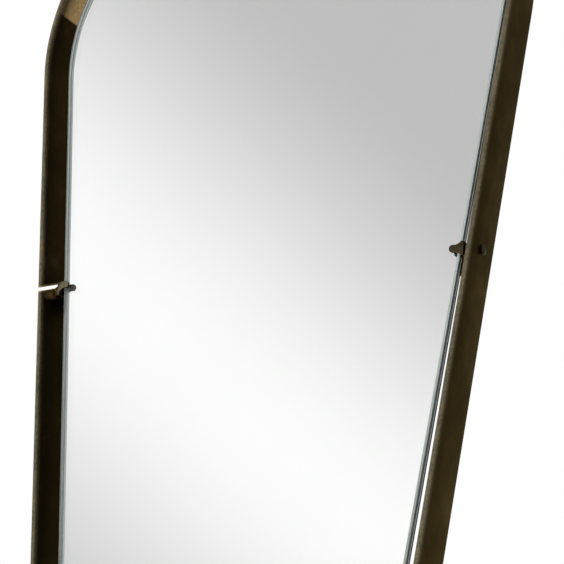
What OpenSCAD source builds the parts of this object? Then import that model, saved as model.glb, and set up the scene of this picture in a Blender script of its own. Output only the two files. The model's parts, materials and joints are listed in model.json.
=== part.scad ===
// Extendable shaving mirror: a tilting glass in a thin metal hoop, on a wall-mounted scissor arm.
// All sizes are in millimetres. +Z is up and +Y points into the wall. The origin is the centre of
// the wall plate's back face. Distances "out" are measured from the wall towards the user (-Y).

/* [Hoop] */
// Half the hoop's width at the height of the tilt axis
hoop_half_w = 90; // [84:1:100]
// How far a side moves outwards for each millimetre of height
side_slope = 0.13; // [0.05:0.01:0.16]
// Height above the tilt axis where the top corners start
top_corner_z = 92; // [80:1:100]
// Radius of the top corners
top_corner_r = 83; // [60:1:88]
// Distance from the tilt axis down to the hoop's lower edge
bottom_drop = 165; // [150:1:180]
// Radius of the bottom corners
bottom_corner_r = 34; // [20:1:45]
// Width of the metal strip, from its front edge to its back edge
strip_w = 20; // [18:1:24]
// Thickness of the metal strip
strip_t = 1.5; // [1.2:0.1:2]
// Width of the slit where the strip's two ends meet
slit_w = 1.3; // [0.8:0.1:1.6]
// Slope of the slit against a square cut, in degrees
slit_angle = 23; // [10:1:25]
// Height of the slit where it passes the tilt pivot
slit_z = 2.6; // [2.4:0.1:4]

/* [Glass] */
// Thickness of the mirror glass
glass_t = 3; // [3:0.5:4]
// Thickness of the silver and paint on the back of the glass
silver_t = 0.2; // [0.1:0.1:0.4]
// Thickness of the backing sheet
backing_t = 1; // [0.8:0.1:1.4]
// Open gap between the strip and the edge of the glass
edge_gap = 5.35; // [5:0.05:7]
// Distance from the hoop's front edge back to the face of the glass
glass_recess = 6.7; // [6:0.1:8]
// How much more the glass's right side leans out than the hoop does
glass_skew = 0.011; // [0:0.001:0.02]
// How far the glass sits to the right of the hoop's middle
glass_shift = 0.3; // [0:0.05:0.4]

/* [Clips and tilt pivots] */
// Thickness of the clips that hold the glass
clip_t = 1; // [0.8:0.1:1.2]
// How far a clip's finger reaches over the glass
finger_reach = 3.2; // [3:0.1:5]
// Height of a clip's finger at its tip
finger_h = 2.6; // [2:0.2:4]
// Height of the left finger's middle above the tilt axis
left_finger_rise = 1.6; // [0:0.1:2]
// Height of a clip's side and back
clip_h = 5; // [5:0.5:7]
// Length of a clip's leg behind the backing sheet
leg_l = 16; // [14:1:20]
// Radius of the tilt pivot screws
tilt_r = 1.3; // [1.2:0.1:1.5]

/* [Scissor arm] */
// Half the distance between the end pivots of a link
link_half = 58; // [50:1:60]
// Width of a link between its eyes
link_w = 9; // [7:0.5:10]
// Radius of the round eyes at a link's pivots
eye_r = 6; // [5.5:0.1:6.5]
// Thickness of a link
link_t = 2; // [1.5:0.1:2]
// Angle between the links and the vertical as modelled, in degrees
fold_angle = 13; // [12:1:60]
// Smallest angle between the links and the vertical, arm closed
closed_angle = 12; // [11:1:14]
// Largest angle between the links and the vertical, arm open
open_angle = 62; // [50:1:64]
// Radius of the arm's pivot pins
pin_r = 2; // [1.6:0.1:2.2]

/* [Wall bracket and head bracket] */
// Width of the wall plate
plate_w = 40; // [40:1:60]
// Height of the wall plate
plate_h = 160; // [156:1:180]
// Thickness of the wall plate
plate_t = 3; // [2.5:0.5:4]
// Distance between the wall screws from side to side
screw_dx = 26; // [26:1:28]
// Distance between the wall screws from top to bottom
screw_dz = 142; // [142:1:146]
// Radius of the holes for the wall screws
screw_r = 2.25; // [2:0.25:2.5]
// Thickness of the channels' metal
channel_t = 2; // [1.6:0.1:2.2]
// Depth of the channels' side walls, web included
channel_d = 17; // [16:1:18]

/* [Swivel] */
// Radius of the swivel barrel
barrel_r = 6; // [5.5:0.1:6.5]
// Radius of the swivel pin
swivel_r = 2.5; // [2:0.1:3]
// Height of the gap between the swivel lugs
lug_gap = 18; // [16:1:20]
// Thickness of a swivel lug
lug_t = 3; // [2.5:0.5:3.5]
// Distance from the swivel axis to the back of the mirror, room for the mirror to tilt
tilt_room = 22; // [22:1:30]

/* [Hidden] */
$fn = 48;

// Gaps
running_fit = 0.05;     // radial clearance of a pin in its hole
open_fit = 0.1;         // radial clearance where the linkage is left open
side_gap = 0.3;         // sideways gap between pieces that move past each other
slot_fit = 0.15;        // clearance of a sliding pin in its slot
spacer_play = 0.1;      // end play of a spacer tube between the inner links
over = 1;               // how far a cutting shape stands out of what it cuts

// Places along the line from the wall to the user
pivot_setback = 8;                                       // from a channel's web to its pivots
wall_pivot_out = plate_t + channel_t + pivot_setback;
arm_reach = 4 * link_half * sin(fold_angle);
head_pivot_out = wall_pivot_out + arm_reach;
head_web_out = head_pivot_out + pivot_setback;           // back of the head channel's web
bracket_t = 2;
swivel_setback = 8;
bracket_out = head_web_out + channel_t;
swivel_out = bracket_out + bracket_t + swivel_setback;
backing_out = swivel_out + tilt_room;
silver_out = backing_out + backing_t;
glass_out = silver_out + silver_t;
glass_front_out = glass_out + glass_t;
hoop_front_out = glass_front_out + glass_recess;
hoop_back_out = hoop_front_out - strip_w;
tilt_out = hoop_front_out - strip_w / 2;

// Heights of the scissor arm's pivots; the lower ones stay level and the upper ones slide
lower_z = -link_half;
function rise(angle) = 2 * link_half * cos(angle);
upper_z = lower_z + rise(fold_angle);
half_rise = rise(fold_angle) / 2;
half_reach = arm_reach / 4;
wall_pivot = [-wall_pivot_out, lower_z];
wall_slide = [-wall_pivot_out, upper_z];
cross_1 = [-wall_pivot_out - half_reach, lower_z + half_rise];
lower_joint = [-wall_pivot_out - 2 * half_reach, lower_z];
upper_joint = [-wall_pivot_out - 2 * half_reach, upper_z];
cross_2 = [-wall_pivot_out - 3 * half_reach, lower_z + half_rise];
head_pivot = [-head_pivot_out, lower_z];
head_slide = [-head_pivot_out, upper_z];

// Sideways layers of the arm, as distances from the middle
inner_x = 6;                                 // inner faces of the a links
outer_x = inner_x + link_t + side_gap;       // inner faces of the b links
wall_x = outer_x + link_t + side_gap;        // inner faces of the channels' walls
channel_x = wall_x + channel_t;              // outer faces of the channels' walls
channel_half_h = link_half + pivot_setback;

// The hoop's outline
lean = atan(side_slope);
side_normal = [cos(lean), -sin(lean)];
top_centre = [hoop_half_w + side_slope * top_corner_z, top_corner_z] - top_corner_r * side_normal;
bottom_centre_z = bottom_corner_r - bottom_drop;
bottom_centre = [
  hoop_half_w + (bottom_centre_z * sin(lean) - bottom_corner_r) / cos(lean),
  bottom_centre_z
];
glass_inset = strip_t + edge_gap;
function side_x(inset) = hoop_half_w - inset / cos(lean);

// Points along an arc from one angle to another, about every three degrees
function arc(centre, r, from, to) =
  let (steps = ceil(abs(to - from) / 3))
  [for (i = [0:steps]) let (a = from + (to - from) * i / steps) centre + r * [cos(a), sin(a)]];

function mirrored(points) = [for (i = [len(points) - 1:-1:0]) [-points[i][0], points[i][1]]];

function right_half(inset) = concat(
  arc(top_centre, top_corner_r - inset, 90, -lean),
  arc(bottom_centre, bottom_corner_r - inset, -lean, -90)
);

// The hoop's outline, moved inwards by a distance: four arcs joined by straight sides.
// skew leans the right side out further.
module outline(inset, skew = 0) {
  whole = concat(right_half(inset), mirrored(right_half(inset)));
  polygon([for (p = whole) [p[0] + max(0, p[0]) * skew * p[1] / hoop_half_w, p[1]]]);
}

// A flat shape drawn in X and Z, made solid from one distance out to another
module facing(from, to) {
  translate([0, -from, 0])
    rotate([90, 0, 0])
      linear_extrude(to - from)
        children();
}

// A flat shape drawn in Y and Z, made solid from one X to another
module sideways(from, to) {
  translate([from, 0, 0])
    rotate([90, 0, 90])
      linear_extrude(to - from)
        children();
}

// Moves a shape that lies along +X to a pivot given as [y, z]
module at_pivot(pivot) {
  translate([0, pivot[0], pivot[1]])
    rotate([0, 90, 0])
      children();
}

// A domed head that stands on z = 0
module dome(r, h) {
  ball_r = (r * r + h * h) / (2 * h);
  intersection() {
    translate([0, 0, h - ball_r]) sphere(ball_r);
    cylinder(h = h, r = r);
  }
}

// A pin along X with a domed head at each end
module pivot_pin(pivot, half_l, head_r, head_h) {
  at_pivot(pivot) {
    cylinder(h = 2 * half_l, r = pin_r, center = true);
    for (end = [0, 1])
      mirror([0, 0, end]) translate([0, 0, half_l]) dome(head_r, head_h);
  }
}

spacer_wall = 1.3;
washer_wall = 1.6;

// A tube along X, symmetrical about the middle
module spacer_tube(pivot) {
  at_pivot(pivot) difference() {
    cylinder(h = 2 * (inner_x - spacer_play), r = pin_r + spacer_wall, center = true);
    cylinder(h = 2 * inner_x, r = pin_r + running_fit, center = true);
  }
}

// Washers on both sides of the middle, each as thick as a link
module washer_pair(pivot, inner) {
  at_pivot(pivot)
    for (side = [-1, 1])
      translate([0, 0, side * (inner + link_t / 2)]) difference() {
        cylinder(h = link_t, r = pin_r + washer_wall, center = true);
        cylinder(h = link_t + over, r = pin_r + running_fit, center = true);
      }
}

// A bar between two points, with a drilled eye at each end and in the middle
module link_shape(from, to, last_fit) {
  step = to - from;
  difference() {
    union() {
      translate(from) rotate(atan2(step[1], step[0])) translate([0, -link_w / 2])
        square([norm(step), link_w]);
      for (place = [from, (from + to) / 2, to])
        translate(place) circle(eye_r);
    }
    translate(from) circle(pin_r + running_fit);
    translate((from + to) / 2) circle(pin_r + running_fit);
    translate(to) circle(pin_r + last_fit);
  }
}

// One link on the left (-1) or the right (1), with its inner face at a distance from the middle
module link(from, to, inner, side, last_fit = running_fit) {
  x = side > 0 ? inner : -inner - link_t;
  color("#3a3120") sideways(x, x + link_t) link_shape(from, to, last_fit);
}

module link_a1(side) { link(wall_pivot, upper_joint, inner_x, side); }
module link_b1(side) { link(wall_slide, lower_joint, outer_x, side); }
module link_a2(side) { link(lower_joint, head_slide, inner_x, side); }
module link_b2(side) { link(head_pivot, upper_joint, outer_x, side, open_fit); }

link_head_r = 3.6;
link_head_h = 1.3;
link_pin_half = outer_x + link_t + 0.2;      // half the length between a link pin's heads
channel_pin_half = channel_x + side_gap;     // the same for a channel pin

module link_pin(pivot) { color("#8a7350") pivot_pin(pivot, link_pin_half, link_head_r, link_head_h); }
module channel_pin(pivot) { color("#8a7350") pivot_pin(pivot, channel_pin_half, link_head_r, link_head_h); }

module cross_pin_1() { link_pin(cross_1); }
module cross_pin_2() { link_pin(cross_2); }
module upper_pin() { link_pin(upper_joint); }
module lower_pin() { link_pin(lower_joint); }
module wall_pivot_pin() { channel_pin(wall_pivot); }
module wall_slide_pin() { channel_pin(wall_slide); }
module head_pivot_pin() { channel_pin(head_pivot); }
module head_slide_pin() { channel_pin(head_slide); }

module link_spacer(pivot) { color("#6f6047") spacer_tube(pivot); }
module cross_spacer_1() { link_spacer(cross_1); }
module cross_spacer_2() { link_spacer(cross_2); }
module upper_spacer() { link_spacer(upper_joint); }
module lower_spacer() { link_spacer(lower_joint); }
module wall_pivot_spacer() { link_spacer(wall_pivot); }
module head_pivot_spacer() { link_spacer(head_pivot); }
module wall_slide_spacer() { link_spacer(wall_slide); }
module head_slide_spacer() { link_spacer(head_slide); }

// Washers between the first a links and the wall channel's sides
module wall_pivot_washers() { color("#8a7350") washer_pair(wall_pivot, outer_x); }

// Washers between the spacer tube and the second b links
module head_pivot_washers() { color("#8a7350") washer_pair(head_pivot, inner_x); }

slot_end_room = 0.5;

// Slot for a sliding pin, from the arm's open place to its closed place
module slot_shape(y) {
  r = pin_r + slot_fit;
  low = lower_z + rise(open_angle) - slot_end_room;
  high = lower_z + rise(closed_angle) + slot_end_room;
  translate([y - r, low]) square([2 * r, high - low]);
  for (z = [low, high])
    translate([y, z]) circle(r);
}

// A channel: a web at one distance out, and side walls that start at another.
// Its sides carry a pivot hole and a slot, and its web has rivet holes.
module channel(web_from, wall_from, pivot_y, rivet_zs) {
  difference() {
    translate([-channel_x, -wall_from - channel_d, -channel_half_h])
      cube([2 * channel_x, channel_d, 2 * channel_half_h]);
    difference() {
      translate([-wall_x, -wall_from - channel_d - over, -channel_half_h - over])
        cube([2 * wall_x, channel_d + 2 * over, 2 * (channel_half_h + over)]);
      translate([-channel_x, -web_from - channel_t, -channel_half_h - 2 * over])
        cube([2 * channel_x, channel_t, 2 * channel_half_h + 4 * over]);
    }
    at_pivot([pivot_y, lower_z])
      cylinder(h = 4 * channel_x, r = pin_r + running_fit, center = true);
    sideways(-2 * channel_x, 2 * channel_x) slot_shape(pivot_y);
    for (z = rivet_zs)
      translate([0, -web_from + over, z]) rotate([90, 0, 0])
        cylinder(h = channel_t + 2 * over, r = rivet_r + running_fit);
  }
}

rivet_r = 1.8;
rivet_head_r = 3.2;
rivet_head_h = 1.2;
wall_rivet_zs = [-44, 44];
bracket_rivet_zs = [-17, 17];

module wall_channel() {
  color("#43392a")
    channel(plate_t, plate_t, -wall_pivot_out, wall_rivet_zs);
}

module head_channel() {
  color("#43392a")
    channel(head_web_out, head_web_out + channel_t - channel_d, -head_pivot_out, bracket_rivet_zs);
}

// A rivet along Y between two faces given as distances out, with a domed head on each
module rivet(x, z, from, to, head_r = rivet_head_r, head_h = rivet_head_h, r = rivet_r) {
  translate([x, -from, z]) rotate([90, 0, 0]) {
    cylinder(h = to - from, r = r);
    translate([0, 0, to - from]) dome(head_r, head_h);
    mirror([0, 0, 1]) dome(head_r, head_h);
  }
}

sink_d = 1.2;       // depth of a flush rivet's countersink, whose sides slope at 45 degrees

// A rivet whose back end is flush in a countersink
module flush_rivet(z, from, to) {
  translate([0, -from, z]) rotate([90, 0, 0]) {
    cylinder(h = to - from, r = rivet_r);
    cylinder(h = sink_d, r1 = rivet_r + sink_d, r2 = rivet_r);
    translate([0, 0, to - from]) dome(rivet_head_r, rivet_head_h);
  }
}

module wall_plate() {
  corner_r = 8;
  head_sink = 2;
  proud = 0.01;     // lets a countersink break cleanly through the face
  color("#43392a")
    difference() {
      facing(0, plate_t) {
        square([plate_w - 2 * corner_r, plate_h], center = true);
        square([plate_w, plate_h - 2 * corner_r], center = true);
        for (x = [-1, 1], z = [-1, 1])
          translate([x * (plate_w / 2 - corner_r), z * (plate_h / 2 - corner_r)])
            circle(corner_r);
      }
      for (x = [-1, 1], z = [-1, 1])
        translate([x * screw_dx / 2, 0, z * screw_dz / 2]) rotate([90, 0, 0]) {
          translate([0, 0, -over]) cylinder(h = plate_t + 2 * over, r = screw_r);
          translate([0, 0, plate_t - head_sink])
            cylinder(h = head_sink + proud, r1 = screw_r, r2 = screw_r + head_sink);
        }
      for (z = wall_rivet_zs)
        translate([0, 0, z]) rotate([90, 0, 0]) {
          translate([0, 0, -over]) cylinder(h = plate_t + 2 * over, r = rivet_r + running_fit);
          translate([0, 0, -proud])
            cylinder(h = sink_d + running_fit, r1 = rivet_r + sink_d + 2 * running_fit,
                     r2 = rivet_r + running_fit);
        }
    }
}

module wall_channel_rivets() {
  color("#8a7350")
    for (z = wall_rivet_zs)
      flush_rivet(z, 0, plate_t + channel_t);
}

lug_half_w = 7;
bracket_w = 20;
bracket_half_h = 22;

module swivel_bracket() {
  lug_z = lug_gap / 2;
  color("#43392a")
    difference() {
      union() {
        translate([-bracket_w / 2, -bracket_out - bracket_t, -bracket_half_h])
          cube([bracket_w, bracket_t, 2 * bracket_half_h]);
        for (z = [-lug_z - lug_t, lug_z]) {
          translate([-lug_half_w, -swivel_out, z])
            cube([2 * lug_half_w, swivel_setback, lug_t]);
          translate([0, -swivel_out, z]) cylinder(h = lug_t, r = lug_half_w);
        }
      }
      translate([0, -swivel_out, 0])
        cylinder(h = 2 * bracket_half_h, r = swivel_r + running_fit, center = true);
      for (z = bracket_rivet_zs)
        translate([0, -bracket_out + over, z]) rotate([90, 0, 0])
          cylinder(h = bracket_t + 2 * over, r = rivet_r + running_fit);
    }
}

module bracket_rivets() {
  color("#8a7350")
    for (z = bracket_rivet_zs)
      rivet(0, z, head_web_out, bracket_out + bracket_t);
}

nut_r = 4.6;
nut_h = 2.4;
nut_dome_r = 3.9;
nut_dome_h = 2.2;
thread_over = 1.5;  // length of thread inside each cap nut

module swivel_pin() {
  half_l = lug_gap / 2 + lug_t + thread_over;
  color("#8a7350")
    translate([0, -swivel_out, 0]) cylinder(h = 2 * half_l, r = swivel_r, center = true);
}

// Cap nuts on both ends of the swivel pin: a hexagon under a dome
module swivel_nuts() {
  color("#8a7350")
    for (end = [0, 1])
      mirror([0, 0, end]) translate([0, -swivel_out, lug_gap / 2 + lug_t]) difference() {
        union() {
          cylinder(h = nut_h, r = nut_r, $fn = 6);
          translate([0, 0, nut_h]) dome(nut_dome_r, nut_dome_h);
        }
        translate([0, 0, -over])
          cylinder(h = thread_over + over + running_fit, r = swivel_r + running_fit);
      }
}

stem_r = 4;
stem_plate_w = 26;
stem_plate_t = 2;
stem_rivet_x = 9;
strap_h = 10;
strap_t = 2;
small_rivet_r = 1.4;
small_rivet_head_r = 2.6;
small_rivet_head_h = 1.1;
strap_back_out = hoop_back_out;
strap_front_out = strap_back_out + strap_t;
strap_flange = 7;   // length of the strap's turned ends along the hoop's sides
flange_t = 1.5;

module swivel_barrel() {
  half_h = lug_gap / 2 - side_gap;
  color("#4a3f2c")
    difference() {
      union() {
        translate([0, -swivel_out, 0]) cylinder(h = 2 * half_h, r = barrel_r, center = true);
        translate([0, -swivel_out, 0]) rotate([90, 0, 0])
          cylinder(h = strap_back_out - swivel_out, r = stem_r);
        facing(strap_back_out - stem_plate_t, strap_back_out)
          square([stem_plate_w, strap_h], center = true);
      }
      translate([0, -swivel_out, 0])
        cylinder(h = 3 * half_h, r = swivel_r + running_fit, center = true);
      for (side = [-1, 1])
        translate([side * stem_rivet_x, -strap_back_out - over, 0]) rotate([-90, 0, 0])
          cylinder(h = stem_plate_t + 2 * over, r = small_rivet_r + running_fit);
    }
}

// The strap crosses behind the glass, and its ends turn forwards along the hoop's sides
module cross_strap() {
  color("#43392a")
    difference() {
      intersection() {
        facing(strap_back_out, strap_back_out + strap_flange) outline(strip_t);
        translate([-2 * hoop_half_w, -hoop_front_out, -strap_h / 2])
          cube([4 * hoop_half_w, strip_w, strap_h]);
      }
      facing(strap_front_out, hoop_front_out) outline(strip_t + flange_t);
      for (side = [-1, 1])
        translate([side * stem_rivet_x, -strap_back_out + over, 0]) rotate([90, 0, 0])
          cylinder(h = strap_t + 2 * over, r = small_rivet_r + running_fit);
    }
}

module strap_rivets() {
  color("#8a7350")
    for (side = [-1, 1])
      rivet(side * stem_rivet_x, 0, strap_back_out - stem_plate_t, strap_front_out,
            small_rivet_head_r, small_rivet_head_h, small_rivet_r);
}

slit_cut_depth = 12;

// A strip of metal bent edge-on round the glass; its two ends meet at the slit on the left
module hoop_band() {
  color("#2e2617")
    difference() {
      facing(hoop_back_out, hoop_front_out) outline(0);
      facing(hoop_back_out - over, hoop_front_out + over) outline(strip_t);
      translate([-hoop_half_w, -tilt_out, slit_z]) rotate([slit_angle, 0, 0])
        cube([slit_cut_depth, 2 * strip_w, slit_w], center = true);
      at_pivot([-tilt_out, 0])
        cylinder(h = 3 * hoop_half_w, r = tilt_r + running_fit, center = true);
    }
}

// The glass and its backs, whose right side leans out, set a little to the right in their clips
module glass_outline(inset) {
  translate([glass_shift, 0]) outline(inset, glass_skew);
}

module mirror_glass() {
  color("#c9d6d2") facing(glass_out, glass_front_out) glass_outline(glass_inset);
}

module mirror_silvering() {
  color("#d8dadb") facing(silver_out, glass_out) glass_outline(glass_inset + silver_margin);
}

module backing_sheet() {
  color("#2a251c")
    difference() {
      facing(backing_out, silver_out) glass_outline(glass_inset + silver_margin);
      clip_rivet_holes();
    }
}

silver_margin = 0.2;      // from the edge of the glass to the edge of the silver
clip_clear = 0.9;         // from the edge of the glass to a clip's side, before the glass is shifted
finger_root = 0.7;        // how far over the glass a finger goes on narrowing
clip_rivet_r = 1;
clip_rivet_head_r = 2.2;
clip_rivet_head_h = 0.9;
clip_rivet_inset = 3.5;   // from the end of a clip's leg to its rivet
glass_edge_x = side_x(glass_inset);
leg_end_x = glass_edge_x + clip_clear - leg_l;
clip_rivet_x = leg_end_x + clip_rivet_inset;

module clip_rivet_holes() {
  for (side = [-1, 1])
    translate([side * clip_rivet_x, -backing_out + 2 * clip_t, 0]) rotate([90, 0, 0])
      cylinder(h = 4 * clip_t, r = clip_rivet_r + running_fit);
}

// A clip folded round the edge of the glass: a finger in front, a side, and a leg behind
module clip(finger_z) {
  side_inner_x = glass_edge_x + clip_clear;
  side_outer_x = side_inner_x + clip_t;
  tip_x = glass_edge_x - finger_reach;
  difference() {
    union() {
      facing(glass_front_out, glass_front_out + clip_t)
        polygon([
          [side_outer_x, -clip_h / 2],
          [glass_edge_x - finger_root, finger_z - finger_h / 2],
          [tip_x, finger_z - finger_h / 2],
          [tip_x, finger_z + finger_h / 2],
          [glass_edge_x - finger_root, finger_z + finger_h / 2],
          [side_outer_x, clip_h / 2]
        ]);
      translate([side_inner_x, -glass_front_out - clip_t, -clip_h / 2])
        cube([clip_t, glass_front_out + 2 * clip_t - backing_out, clip_h]);
      translate([leg_end_x, -backing_out, -clip_h / 2])
        cube([leg_l + clip_t, clip_t, clip_h]);
    }
    clip_rivet_holes();
    at_pivot([-tilt_out, 0])
      cylinder(h = 2 * hoop_half_w, r = tilt_r + running_fit);
  }
}

module right_clip() { color("#4d4229") clip(0); }
module left_clip() { color("#4d4229") mirror([1, 0, 0]) clip(left_finger_rise); }

module clip_rivets() {
  color("#8a7350")
    for (side = [-1, 1])
      translate([side * clip_rivet_x, -backing_out + clip_t, 0]) rotate([90, 0, 0]) {
        cylinder(h = clip_t + backing_t, r = clip_rivet_r);
        mirror([0, 0, 1]) dome(clip_rivet_head_r, clip_rivet_head_h);
      }
}

bush_r = 2.4;
screw_head_r = 2;
screw_head_h = 0.7;
clip_side_x = glass_edge_x + clip_clear + clip_t;     // outer face of a clip's side
bush_end_x = side_x(strip_t) - bush_r * side_slope - side_gap;
screw_seat_x = side_x(0) + screw_head_r * side_slope + side_gap;

// Bushes that keep the clips clear of the hoop
module pivot_bushes() {
  color("#6f6047")
    for (side = [0, 1])
      mirror([side, 0, 0]) at_pivot([-tilt_out, 0]) difference() {
        translate([0, 0, clip_side_x]) cylinder(h = bush_end_x - clip_side_x, r = bush_r);
        translate([0, 0, clip_side_x - over])
          cylinder(h = bush_end_x - clip_side_x + 2 * over, r = tilt_r + running_fit);
      }
}

// Shoulder screws through the hoop into the clips: the mirror tilts on them
module pivot_screws() {
  end_x = clip_side_x - clip_t;
  color("#8a7350")
    for (side = [0, 1])
      mirror([side, 0, 0]) at_pivot([-tilt_out, 0]) {
        translate([0, 0, end_x]) cylinder(h = screw_seat_x - end_x, r = tilt_r);
        translate([0, 0, screw_seat_x]) dome(screw_head_r, screw_head_h);
      }
}

module link_a1_left() { link_a1(-1); }
module link_a1_right() { link_a1(1); }
module link_b1_left() { link_b1(-1); }
module link_b1_right() { link_b1(1); }
module link_a2_left() { link_a2(-1); }
module link_a2_right() { link_a2(1); }
module link_b2_left() { link_b2(-1); }
module link_b2_right() { link_b2(1); }

wall_plate();
wall_channel();
wall_channel_rivets();
wall_pivot_pin();
wall_pivot_spacer();
wall_pivot_washers();
link_a1_left();
link_a1_right();
cross_pin_1();
cross_spacer_1();
upper_pin();
upper_spacer();
link_b1_left();
link_b1_right();
wall_slide_pin();
wall_slide_spacer();
lower_pin();
lower_spacer();
link_a2_left();
link_a2_right();
cross_pin_2();
cross_spacer_2();
head_slide_pin();
head_slide_spacer();
link_b2_left();
link_b2_right();
head_channel();
head_pivot_pin();
head_pivot_spacer();
head_pivot_washers();
swivel_bracket();
bracket_rivets();
swivel_pin();
swivel_nuts();
swivel_barrel();
cross_strap();
strap_rivets();
hoop_band();
mirror_glass();
mirror_silvering();
backing_sheet();
left_clip();
right_clip();
clip_rivets();
pivot_bushes();
pivot_screws();
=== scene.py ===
"""An extendable shaving mirror: patinated brass hoop, silvered glass and lacquered scissor arm."""
import json
from math import asin, atan, ceil, cos, pi, radians, sin

import bmesh
import bpy
from mathutils import Matrix, Vector


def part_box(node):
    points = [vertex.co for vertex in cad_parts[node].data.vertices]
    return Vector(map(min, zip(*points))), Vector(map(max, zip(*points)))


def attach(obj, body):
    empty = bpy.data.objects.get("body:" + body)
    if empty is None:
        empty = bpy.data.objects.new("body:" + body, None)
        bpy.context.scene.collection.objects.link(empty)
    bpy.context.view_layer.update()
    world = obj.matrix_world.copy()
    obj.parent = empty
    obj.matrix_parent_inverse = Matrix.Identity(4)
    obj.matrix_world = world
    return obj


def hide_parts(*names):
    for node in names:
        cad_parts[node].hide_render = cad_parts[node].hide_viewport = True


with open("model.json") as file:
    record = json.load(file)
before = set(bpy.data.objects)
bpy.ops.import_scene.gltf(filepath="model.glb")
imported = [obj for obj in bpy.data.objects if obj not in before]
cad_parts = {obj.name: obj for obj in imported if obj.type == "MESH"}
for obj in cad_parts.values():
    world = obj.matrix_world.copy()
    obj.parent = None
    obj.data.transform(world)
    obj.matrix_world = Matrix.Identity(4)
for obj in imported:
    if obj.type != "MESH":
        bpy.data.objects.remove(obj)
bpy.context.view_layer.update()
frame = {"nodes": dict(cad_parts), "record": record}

MM = 0.001

# ---------------------------------------------------------------- sizes, as the CAD's driving dimensions

HOOP_HALF_W = 90 * MM        # at the height of the tilt pivots
SIDE_SLOPE = 0.13            # how far each side leans out for its height
TOP_CORNER_Z = 92 * MM       # where the straight sides end
TOP_CORNER_R = 83 * MM
BOTTOM_CORNER_R = 34 * MM
STRIP_T = 1.5 * MM
SLIT_W = 1.3 * MM
SLIT_ANGLE = radians(23)
SLIT_Z = 2.6 * MM            # height of the slit where it passes the tilt pivot
EDGE_GAP = 5.35 * MM         # between the strip and the glass
GLASS_SHIFT = 0.3 * MM       # how far the glass sits to the right of the hoop's middle
GLASS_SKEW = 0.011           # how much more the glass's right side leans out than the hoop does
CLIP_T = 1 * MM
LINK_T = 2 * MM
TILT_R = 1.3 * MM            # radius of the screws that the mirror tilts on
PIN_R = 2 * MM               # radius of the arm's pins
FIT = 0.05 * MM              # clearance of a pin in its hole
SAME = 0.001 * MM            # corners closer than this are one corner
NEAR = 0.01 * MM             # allowance for two things at one height or depth
ROUND_SIDES = 40             # sides of a turned part or a drilled hole

HOOP_LOW, HOOP_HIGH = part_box("hoop_band")
HOOP_FRONT = HOOP_LOW.y
STRIP_W = HOOP_HIGH.y - HOOP_LOW.y
HOOP_MIDDLE = (HOOP_LOW.y + HOOP_HIGH.y) / 2
GLASS_INSET = STRIP_T + EDGE_GAP
LEAN = atan(SIDE_SLOPE)
SLIT_MIDDLE = Vector((-HOOP_HALF_W, HOOP_MIDDLE, SLIT_Z))
SLIT_UP = Vector((0, -sin(SLIT_ANGLE), cos(SLIT_ANGLE)))
SLIT_ALONG = Vector((0, cos(SLIT_ANGLE), sin(SLIT_ANGLE)))

BODY_OF = {
    node: body
    for body, nodes in frame["record"]["behaviour"]["bodies"].items()
    for node in nodes
}


# ---------------------------------------------------------------- the hoop's outline

def arc(centre, radius, start, end, step=radians(1.5)):
    """Points along an arc, in two coordinates."""
    count = ceil(abs(end - start) / step)
    angles = [start + (end - start) * i / count for i in range(count + 1)]
    return [(centre[0] + radius * cos(a), centre[1] + radius * sin(a)) for a in angles]


def outline(inset, skew=0):
    """The hoop's outline in X and Z, moved inwards, from the middle of its top down the right and round.

    skew leans the right side out further.
    """
    top = (
        HOOP_HALF_W + SIDE_SLOPE * TOP_CORNER_Z - TOP_CORNER_R * cos(LEAN),
        TOP_CORNER_Z + TOP_CORNER_R * sin(LEAN),
    )
    low_z = HOOP_LOW.z + BOTTOM_CORNER_R
    low = (HOOP_HALF_W + (low_z * sin(LEAN) - BOTTOM_CORNER_R) / cos(LEAN), low_z)
    right = arc(top, TOP_CORNER_R - inset, pi / 2, -LEAN)
    right += arc(low, BOTTOM_CORNER_R - inset, -LEAN, -pi / 2)
    whole = right + [(-x, z) for x, z in reversed(right)]
    return [(x + max(0, x) * skew * z / HOOP_HALF_W, z) for x, z in whole]


# ---------------------------------------------------------------- nodes

def linear(colour):
    """An sRGB hex colour as linear RGBA."""
    parts = [int(colour[i:i + 2], 16) / 255 for i in (1, 3, 5)]
    return tuple(c / 12.92 if c <= 0.04045 else ((c + 0.055) / 1.055) ** 2.4 for c in parts) + (1.0,)


def add_node(tree, kind, sockets=None, stops=(), **settings):
    """Adds a node and sets it up.

    A socket gets a value, or another node's output to link to. stops are the colours of a ramp.
    """
    made = tree.nodes.new(kind)
    for name, value in settings.items():
        setattr(made, name, value)
    for name, value in (sockets or {}).items():
        if isinstance(value, bpy.types.Node):
            value = next(output for output in value.outputs if output.enabled)
        if isinstance(value, bpy.types.NodeSocket):
            tree.links.new(value, made.inputs[name])
        else:
            made.inputs[name].default_value = value
    for i, (place, colour) in enumerate(stops):
        if i >= len(made.color_ramp.elements):
            made.color_ramp.elements.new(place)
        made.color_ramp.elements[i].position = place
        made.color_ramp.elements[i].color = linear(colour)
    return made


def new_material(name):
    """A material with an empty node tree, and the object coordinates that its patterns lie on."""
    material = bpy.data.materials.new(name)
    material.use_nodes = True
    material.node_tree.nodes.clear()
    place = add_node(material.node_tree, "ShaderNodeTexCoord").outputs["Object"]
    return material, material.node_tree, place


def surface(tree, sockets):
    """Ends a material in one Principled shader."""
    shader = add_node(tree, "ShaderNodeBsdfPrincipled", sockets)
    add_node(tree, "ShaderNodeOutputMaterial", {"Surface": shader})


# ---------------------------------------------------------------- materials

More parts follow.
